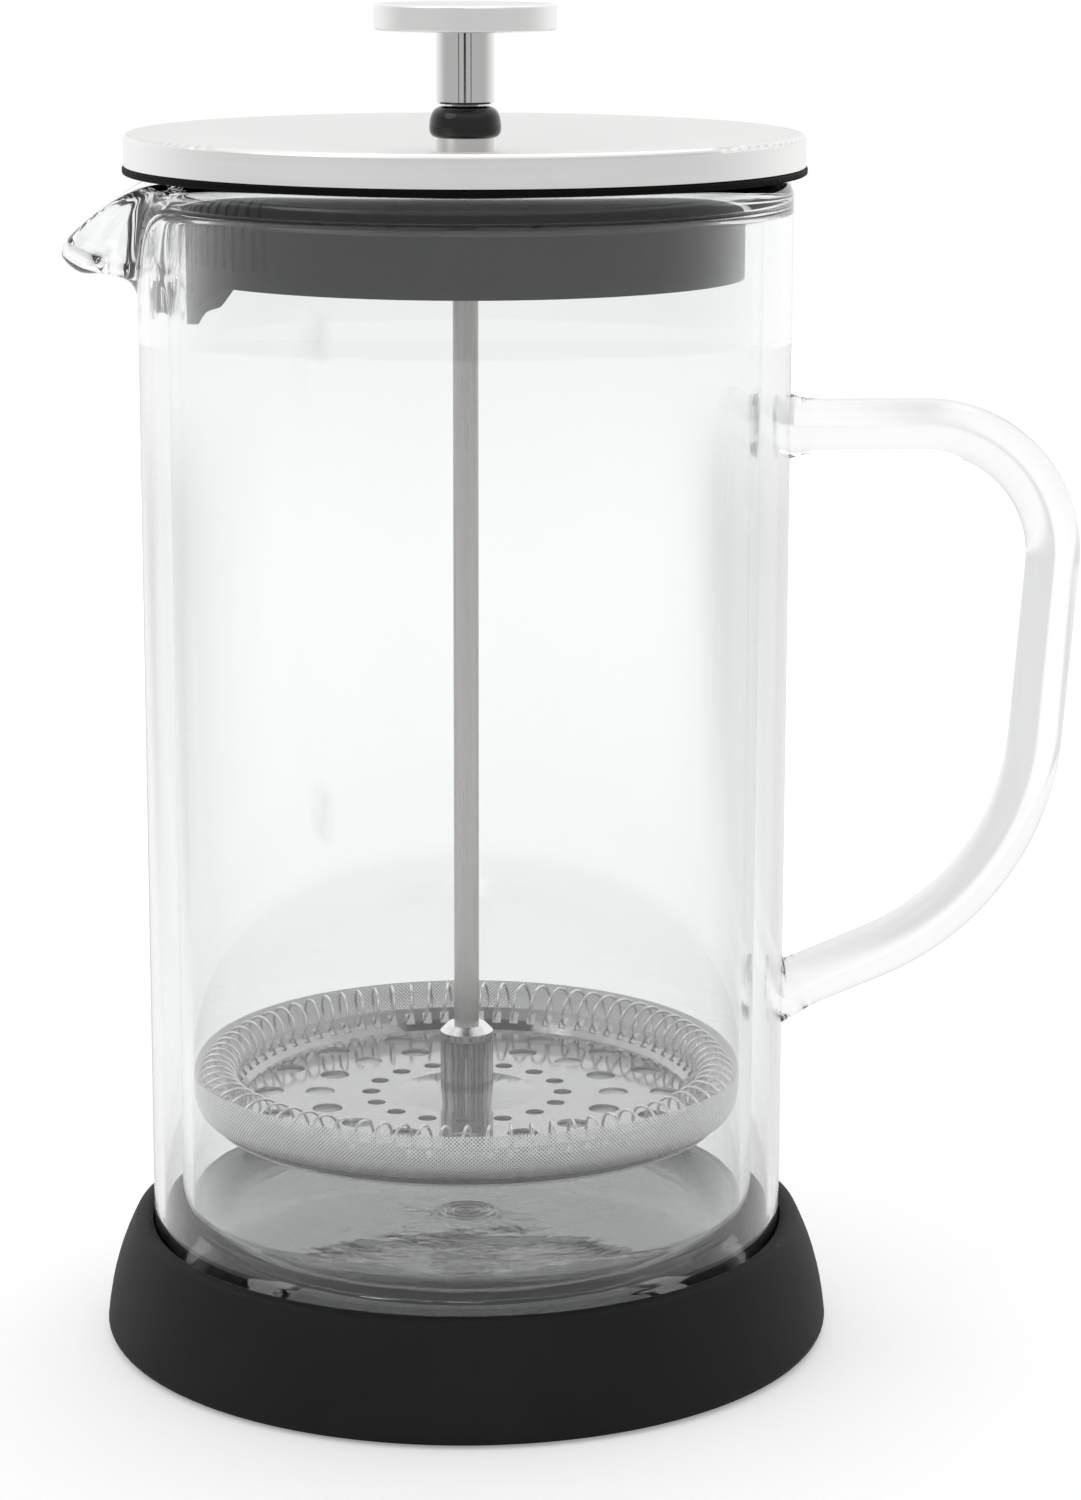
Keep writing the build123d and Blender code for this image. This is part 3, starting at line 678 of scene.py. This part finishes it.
def fluted_steel(name, shoulder):
    """Polished steel with streaks up its side, the painted shade and highlights of its flutes, below a
    shoulder's height in millimetres.
    """
    steel = Finish(name)
    across, along = 1100, 18
    upright = steel.vector(steel.x * across, steel.y * across, steel.z * along)
    # The streaks paint the shade and the highlights of the flutes. Above the shoulder the colour is the
    # light one.
    streaks = steel.noise(upright, 1.0, 3.0).rise(0.34, 0.66)
    on_side = 1 - steel.z.rise((shoulder - 0.3) * MM, (shoulder + 0.3) * MM)
    mask = streaks * on_side * 0.85 + (1 - on_side)
    groove_shade, crest_highlight = (0.26, 0.255, 0.25), (0.96, 0.95, 0.94)
    return steel.close({
        "Base Color": steel.tint(mask, groove_shade, crest_highlight),
        "Metallic": 1.0,
        "Roughness": 0.2 - 0.1 * streaks,
        "Normal": steel.bump(streaks * on_side, 0.02, 0.5),
    })


def dished_steel(name, bend):
    """Pressed steel: polished on its flat. Past a radius in millimetres, its bent-up edge is duller and has
    a painted highlight.
    """
    steel = Finish(name)
    brushing = steel.rings(3000.0)
    bent = steel.axis_distance.rise((bend - 0.4) * MM, (bend + 0.4) * MM)
    # The bent-up edge is painted lighter in colour, a painted highlight.
    dark, light = (0.46, 0.455, 0.45), (0.56, 0.553, 0.548)
    return steel.close({
        "Base Color": steel.tint(0.6 * brushing + 0.4 * bent, dark, light),
        "Metallic": 1.0,
        "Roughness": 0.09 + 0.08 * (brushing - 0.5) + 0.26 * bent,
        "Normal": steel.bump(brushing, 0.002, 0.5),
    })


def rimmed_steel(name, edge):
    """Pressed steel with a painted highlight, a light line along its lowest edge, below a height in
    millimetres.
    """
    steel = Finish(name)
    brushing = steel.rings(3000.0)
    # Painted highlight: the lowest edge is painted light, less metallic and rougher.
    painted_edge_highlight = 1 - steel.z.rise((edge - 0.15) * MM, (edge + 0.15) * MM)
    plain, bright = (0.58, 0.573, 0.568), (0.98, 0.975, 0.97)
    return steel.close({
        "Base Color": steel.tint(painted_edge_highlight + 0.15 * brushing, plain, bright),
        "Metallic": 1.0 - 0.6 * painted_edge_highlight,
        "Roughness": 0.1 + 0.06 * brushing + 0.4 * painted_edge_highlight,
        "Normal": steel.bump(brushing, 0.002, 0.5),
    })


# %% Steel pieces
lid_edge, knob_edge = 58.6, 15.4
hub_shoulder, plate_bend, cross_edge = 53.5, 42.0, 40.6
satin = turned_steel("plain_satin_steel", (0.90, 0.895, 0.89), 0.38, 0.14, 0.006, 5200.0)
polished = turned_steel("polished_steel", (0.80, 0.79, 0.785), 0.06, 0.06, 0.0012, 3800.0)
dress(["lid_cap"], satin_steel("lid_steel", lid_edge))
dress(["knob_disc"], satin_steel("knob_steel", knob_edge))
dress(["lid_washer", "lid_nut", "cross_boss"], satin)
dress(["knob_neck", "guide_collar"], polished)
dress(["spiral_plate"], dished_steel("dished_steel", plate_bend))
dress(["hub_nut"], fluted_steel("fluted_steel", hub_shoulder))
dress(["cross_plate"], rimmed_steel("rimmed_steel", cross_edge))
dress(["plunger_rod"], drawn_steel("drawn_steel", (0.53, 0.515, 0.50), 0.3))

# %% [markdown]
# ## The spring round the filter
# One thin wire is wound into a long spring and closed into a ring, threaded through the plate's edge. The
# solid model shows its turns as closed rings. Here the wire is continuous: a circle of points is moved
# onto a helix that runs round the ring, by a rule with its sizes as inputs, and Curve to Mesh makes the
# wire. A slow wave leans the turns unevenly on their outer side, as a hand-stretched spring does.

# %% Spring wire
def wire_finish():
    wire = Finish("bright_wire")
    marks = wire.noise(wire.place, 900.0, 2.0)
    return wire.close({
        "Base Color": wire.tint(marks, (0.66, 0.65, 0.64), (0.86, 0.85, 0.84)),
        "Metallic": 1.0,
        "Roughness": 0.12 + 0.1 * marks,
    })


def spring_group(material):
    inputs = [("Turns", "NodeSocketFloat", 10.0), ("Points", "NodeSocketInt", 100),
              ("Ring", "NodeSocketFloat", 1.0), ("Coil", "NodeSocketFloat", 0.1),
              ("Height", "NodeSocketFloat", 0.0), ("Wire", "NodeSocketFloat", 0.01),
              ("Lean", "NodeSocketFloat", 0.0)]
    group, graph, start = node_group("ring_spring", inputs)
    loop = graph.add("GeometryNodeMeshCircle", sockets={"Vertices": start.other("Points")})
    index = graph.add("GeometryNodeInputIndex")
    around = index / start.other("Points") * (2 * pi)
    wind = around * start.other("Turns") + pi
    slow_waves, quick_waves, quick_start = 5, 13, 1.3
    wave = (around * slow_waves).sine() * 0.5 + (around * quick_waves + quick_start).sine() * 0.5
    turned = around + start.other("Lean") * (wind.cosine() + 1) * wave
    reach = start.other("Ring") + start.other("Coil") * wind.cosine()
    place = graph.add("ShaderNodeCombineXYZ", sockets={
        0: reach * turned.cosine(),
        1: reach * turned.sine(),
        2: start.other("Height") + start.other("Coil") * wind.sine(),
    })
    helix = graph.add("GeometryNodeSetPosition", sockets={"Geometry": loop, "Position": place})
    path = graph.add("GeometryNodeMeshToCurve", sockets={"Mesh": helix})
    ring = graph.add(
        "GeometryNodeCurvePrimitiveCircle", sockets={"Resolution": 8, "Radius": start.other("Wire")}
    )
    wire = graph.add("GeometryNodeCurveToMesh", sockets={"Curve": path, "Profile Curve": ring})
    finish_group(graph, wire, material)
    return group


# %% Spring ring
coil_turns, points_per_turn, coil_lean = 78, 28, 0.006
ring_radius, ring_height, coil_radius, wire_radius = 45.4, 47.15, 3.5, 0.27
spring = grown("spring_wire", bpy.data.meshes.new("spring_seed"), spring_group(wire_finish()), {
    "Turns": float(coil_turns), "Points": coil_turns * points_per_turn, "Lean": coil_lean,
    "Ring": ring_radius * MM, "Height": ring_height * MM,
    "Coil": coil_radius * MM, "Wire": wire_radius * MM,
})
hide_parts("coil_spring")
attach(spring, "plunger")

# %% [markdown]
# ## The woven screen
# The screen is a cup of fine wire cloth, bent up round the spring. Its wires are a fraction of a millimetre
# thick and cross tens of thousands of times, which is too much for a mesh, so a pattern does the work: two
# sets of wires cross on the slant, pass over and under each other in the bump, and leave see-through
# openings in the alpha, with a faint dark film of painted shade in them. The pattern follows the cup
# through its own UV map, with whole turns around, so that it has no seam.

# %% Screen cloth
def cloth_finish(wires_around, rows_per_mm):
    cloth = Finish("wire_cloth")
    grid = cloth.add("ShaderNodeSeparateXYZ", sockets={
        0: cloth.add("ShaderNodeUVMap", {"uv_map": "weave"}),
    })
    around = grid * wires_around
    up = grid.other("Y") * rows_per_mm
    one, two = (around + up) * pi, (around - up) * pi
    wire_one, wire_two = one.cosine().size(), two.cosine().size()
    over = (one.sine() * two.sine()).rise(-0.6, 0.6)
    height = wire_one * (0.55 + 0.45 * over) + wire_two * (1 - 0.45 * over)
    cover = wire_one.larger(wire_two).rise(0.6, 0.94)
    stain = cloth.noise(cloth.place, 160.0, 2.0)
    # The dark colour of the openings is painted shade, seen through the weave.
    opening_shade, wire_grey = (0.06, 0.06, 0.06), (0.92, 0.915, 0.91)
    return cloth.close({
        "Base Color": cloth.tint(cover * (0.8 + 0.2 * stain), opening_shade, wire_grey),
        "Metallic": 1.0,
        "Roughness": 0.3 + 0.1 * stain,
        "Alpha": 0.22 + 0.78 * cover,
        "Normal": cloth.bump(height, 0.06, 0.5),
    })


# %% Screen cup
cup_hole, cup_flat, cup_radius = 2.2, 43.6, 49.475
cup_floor, cup_shoulder, cup_top = 42.43, 47.7, 50.25
cup_corner = [(46.28, 42.09), (47.45, 41.97), (48.39, 43.16), (49.18, 45.33)]
cup_bend = through([(cup_flat, cup_floor), *cup_corner, (cup_radius, cup_shoulder)], 6)
screen_profile = np.vstack([
    run((cup_hole, cup_floor), (cup_flat, cup_floor), 14),
    cup_bend[:-1],
    run((cup_radius, cup_shoulder), (cup_radius, cup_top), 5),
    [(cup_radius, cup_top)],
])


def screen_cup(profile, steps, material):
    """One sheet of cloth. Its UV map holds the place around, in turns, and along the cup, in mm."""
    rows = len(profile)
    lengths = np.concatenate([[0], np.cumsum(np.linalg.norm(np.diff(profile, axis=0), axis=1))])
    angles = [2 * pi * k / steps for k in range(steps)]
    points = [(r * cos(a), r * sin(a), z) for a in angles for r, z in profile]
    faces, corners = [], []
    for step in range(steps):
        here, there = step * rows, (step + 1) % steps * rows
        for k in range(rows - 1):
            faces.append((here + k, there + k, there + k + 1, here + k + 1))
            left, right = step / steps, (step + 1) / steps
            low, high = lengths[k], lengths[k + 1]
            corners += [(left, low), (right, low), (right, high), (left, high)]
    piece = new_piece("woven_screen", points, faces, material)
    weave = piece.data.uv_layers.new(name="weave")
    weave.data.foreach_set("uv", np.array(corners, np.float32).ravel())
    return piece


wires_around, screen_steps = 450, 192
cloth = cloth_finish(wires_around, wires_around / (2 * pi * cup_radius))
screen = screen_cup(screen_profile, screen_steps, cloth)
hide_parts("mesh_screen")
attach(screen, "plunger")

# %% [markdown]
# ## Camera
# The camera stands where the picture was taken from: a long lens, about 12 degrees above the level, in
# front of the vessel's middle, with the spout on the left and the handle on the right.

# %% Camera
camera_place = (0.01329, -0.7021, 0.25908)
downward, roll = 12.27, 0.14
camera_data = bpy.data.cameras.new("camera")
camera_data.sensor_width = 36.0
camera_data.lens = 96.39
camera = bpy.data.objects.new("camera", camera_data)
scene.collection.objects.link(camera)
aim = Matrix.Rotation(radians(90 - downward), 4, "X") @ Matrix.Rotation(radians(roll), 4, "Z")
camera.matrix_world = Matrix.Translation(camera_place) @ aim
scene.camera = camera
print("camera lens", camera_data.lens, "mm")

# %% [markdown]
# ## A light tent
# Glass and polished steel show their surroundings more than themselves, so the world is built as a white
# tent: white behind the press and overhead, half as bright at the sides and in front, so that the edges
# of the glass stand out. Just below the level, the slit that the camera looks through and a seam on each
# side of it are dark, and draw the dark lines in the neck. The camera sees plain white where it sees the
# tent itself. Light crosses many glass walls here, so more bounces are allowed than usual.

# %% World
def tent():
    world = bpy.data.worlds.new("light_tent")
    world.use_nodes = True
    scene.world = world
    graph = Graph(world.node_tree)
    front_level, top_level, gap_depth = 0.54, 0.95, 0.94
    slit_edge, seam_start, seam_end = (0.06, 0.10), (0.39, 0.41), (0.45, 0.47)
    gap_foot, gap_head = (-0.066, -0.054), (-0.015, 0.0)
    direction = graph.add("ShaderNodeTexCoord", output="Generated")
    x = graph.add("ShaderNodeSeparateXYZ", sockets={0: direction})
    y, z = x.other("Y"), x.other("Z")
    behind = y.rise(-0.2, 0.85)
    overhead = z.rise(0.3, 0.9)
    wall_level = front_level + (1 - front_level) * behind
    level = wall_level + (top_level - wall_level) * overhead
    bearing = x.math("ARCTAN2", x, 0 - y).size()
    slit = 1 - bearing.rise(*slit_edge)
    seams = bearing.rise(*seam_start) * (1 - bearing.rise(*seam_end))
    gaps = slit.larger(seams) * z.rise(*gap_foot) * (1 - z.rise(*gap_head))
    shade = level * (1 - gap_depth * gaps)
    seen = graph.add("ShaderNodeLightPath", output="Is Camera Ray")
    strength = shade * (1 - seen) + seen
    light = graph.add("ShaderNodeBackground", sockets={"Color": (1, 1, 1, 1), "Strength": strength})
    graph.add("ShaderNodeOutputWorld", sockets={"Surface": light})


tent()
scene.cycles.max_bounces = 26
scene.cycles.transmission_bounces = 26
scene.cycles.glossy_bounces = 10
scene.cycles.transparent_max_bounces = 16
print("world:", scene.world.name)

# %% [markdown]
# ## Floor and lamps
# The press stands on a round sheet of white paper. The paper is matt, so that it keeps the soft shadow at
# the foot, with a little white of its own for the camera, which brings bare paper up to white and fades
# it into the tent towards its edge. Through glass, the paper beside a lane behind the press is painted
# darker, as painted shade, with a duller colour and less white of its own. The walls are seen against that
# lane, and the handle, which bends light like a lens, gathers the painted shade and stands out in grey. Two
# large lamps, no brighter than the tent itself, give the shadow a direction without glare.

# %% Floor
def paper():
    lane_start, lane_right, lane_left = 0.7, (0.085, 0.13), (0.16, 0.3)
    near_edge, far_edge = (0.0, 0.2), (0.85, 1.45)
    # The second paper colour is painted shade, seen only through glass beside the lane.
    white_paper, shaded_paper = (0.84, 0.84, 0.84, 1), (0.76, 0.76, 0.76, 1)
    material = bpy.data.materials.new("white_paper")
    material.use_nodes = True
    graph = Graph(material.node_tree)
    seen = graph.add("ShaderNodeLightPath", output="Is Camera Ray")
    through_glass = seen.other("Is Transmission Ray")
    place = graph.add("ShaderNodeTexCoord", output="Object")
    x = graph.add("ShaderNodeSeparateXYZ", sockets={0: place})
    y = x.other("Y")
    distance = (x * x + y * y) ** 0.5
    fade = distance.rise(0.2, 0.9)
    bearing = x / (y + lane_start)
    aside = bearing.rise(*lane_right).larger((0 - bearing).rise(*lane_left))
    beside = aside * y.rise(*near_edge) * (1 - distance.rise(*far_edge))
    for_camera = 0.28 + 0.45 * fade
    for_glass = (1 - beside) * (0.14 + 0.07 * fade)
    own_light = seen * for_camera + through_glass * for_glass
    matt = graph.add("ShaderNodeBsdfDiffuse", sockets={"Color": white_paper})
    shaded_sheet = graph.add("ShaderNodeBsdfDiffuse", sockets={"Color": shaded_paper})
    sheet = graph.add("ShaderNodeMixShader", sockets={0: through_glass * beside, 1: matt, 2: shaded_sheet})
    white = graph.add("ShaderNodeEmission", sockets={"Strength": own_light})
    both = graph.add("ShaderNodeAddShader", sockets={0: sheet, 1: white})
    graph.add("ShaderNodeOutputMaterial", sockets={"Surface": both})
    return material


paper_radius, paper_sides, paper_height = 1.6, 64, -0.0002
turns = [2 * pi * k / paper_sides for k in range(paper_sides)]
paper_edge = [(paper_radius * cos(a), paper_radius * sin(a), paper_height) for a in turns]
floor_mesh = bpy.data.meshes.new("paper_floor")
floor_mesh.from_pydata(paper_edge, [], [tuple(range(paper_sides))])
floor_mesh.materials.append(paper())
floor = bpy.data.objects.new("paper_floor", floor_mesh)
scene.collection.objects.link(floor)
print("floor:", 2 * paper_radius, "m across")

# %% Lamps
def soft_lamp(name, place, aim, size, power):
    lamp_data = bpy.data.lights.new(name, "AREA")
    lamp_data.shape = "DISK"
    lamp_data.size = size
    lamp_data.energy = power
    lamp = bpy.data.objects.new(name, lamp_data)
    turn = (Vector(aim) - Vector(place)).to_track_quat("-Z", "Y")
    lamp.matrix_world = Matrix.Translation(place) @ turn.to_matrix().to_4x4()
    scene.collection.objects.link(lamp)
    print(name, "gives", power, "W over", size, "m")


lit_point = (0, 0, 0.1)
soft_lamp("left_lamp", (-0.9, -0.5, 1.1), lit_point, 0.9, 1.8)
soft_lamp("top_lamp", (0.15, 0.5, 1.3), lit_point, 1.1, 2.4)
scene.view_settings.view_transform = "Standard"
